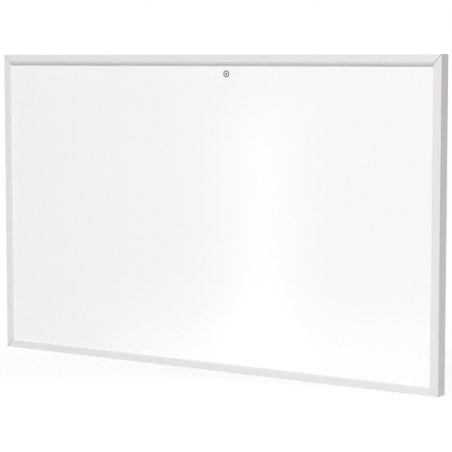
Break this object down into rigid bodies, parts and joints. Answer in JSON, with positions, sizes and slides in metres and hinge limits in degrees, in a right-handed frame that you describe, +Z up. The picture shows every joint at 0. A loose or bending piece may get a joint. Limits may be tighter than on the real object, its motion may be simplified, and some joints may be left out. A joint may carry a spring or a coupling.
{
  "type": "infrared panel heater",
  "caption": "Flat wall-hung infrared panel heater with a recessed white radiant plate in a slim mitred frame, keyhole hanger brackets and a rear terminal box.",
  "frame": {"origin": "centre of the four keyhole entry holes, on the wall plane that the hanger brackets touch", "axes": "+X to the right seen from the front, +Y into the wall, +Z up; the panel faces -Y"},
  "size_m": [1, 0.053, 0.6],
  "materials": {
    "amber_film": "clear amber polyimide film",
    "black_phenolic": "moulded",
    "black_rubber": "matt moulded rubber",
    "blue_lead": "silicone insulation",
    "brass": "turned",
    "brown_lead": "silicone insulation",
    "cast_alloy": "as-cast",
    "copper_tin": "tinned brass strip",
    "frame_powder_coat": "very light grey powder coat, fine satin",
    "glass_tape": "woven glass-fibre tape",
    "green_yellow_lead": "silicone insulation",
    "grey_moulding": "fine-spark moulded light grey",
    "mineral_fibre": "pressed mineral fibre",
    "mirror_foil": "bright foil",
    "plate_powder_coat": "semi-gloss white powder coat with a slight orange peel",
    "sleeve_nylon": "moulded natural nylon",
    "track_foil": "etched foil",
    "white_ceramic": "unglazed",
    "zinc_screw": "bright zinc plating",
    "zinc_sheet": "hot-dip zinc sheet"
  },
  "bodies": {
    "root": {"corner_key_bottom_left": "cast_alloy", "corner_key_bottom_right": "cast_alloy", "corner_key_screws": "zinc_screw", "corner_key_top_left": "cast_alloy", "corner_key_top_right": "cast_alloy", "earth_lead": "green_yellow_lead", "earth_nut": "zinc_screw", "earth_ring_tag": "copper_tin", "earth_spacer_nut": "zinc_screw", "earth_stud": "zinc_screw", "earth_toothed_washer": "zinc_screw", "frame_bottom": "frame_powder_coat", "frame_left": "frame_powder_coat", "frame_right": "frame_powder_coat", "frame_top": "frame_powder_coat", "front_insulating_film": "amber_film", "gland_body": "grey_moulding", "gland_dome_nut": "grey_moulding", "gland_lock_nut": "grey_moulding", "gland_seal": "black_rubber", "hanger_bracket_bottom_left": "zinc_sheet", "hanger_bracket_bottom_right": "zinc_sheet", "hanger_bracket_top_left": "zinc_sheet", "hanger_bracket_top_right": "zinc_sheet", "hanger_rivets": "cast_alloy", "heating_track": "track_foil", "insulation_board": "mineral_fibre", "lead_grommet": "black_rubber", "live_lead": "brown_lead", "live_link_lead": "brown_lead", "neutral_lead": "blue_lead", "neutral_link_lead": "blue_lead", "plate_tape_bottom": "glass_tape", "plate_tape_left": "glass_tape", "plate_tape_right": "glass_tape", "plate_tape_top": "glass_tape", "radiant_plate": "plate_powder_coat", "rear_cover": "zinc_sheet", "rear_cover_screws": "zinc_screw", "rear_insulating_film": "amber_film", "reflective_foil": "mirror_foil", "spade_sleeves": "sleeve_nylon", "terminal_block_body": "white_ceramic", "terminal_block_clamp_screws": "zinc_screw", "terminal_block_clamps": "brass", "terminal_block_fixing_screws": "zinc_screw", "terminal_box_base": "grey_moulding", "terminal_box_fixing_screws": "zinc_screw", "terminal_box_lid": "grey_moulding", "terminal_box_lid_screws": "zinc_screw", "terminal_box_seal": "black_rubber", "thermal_cutout_left": "black_phenolic", "thermal_cutout_right": "black_phenolic", "track_terminal_left": "copper_tin", "track_terminal_right": "copper_tin"}
  },
  "joints": []
}
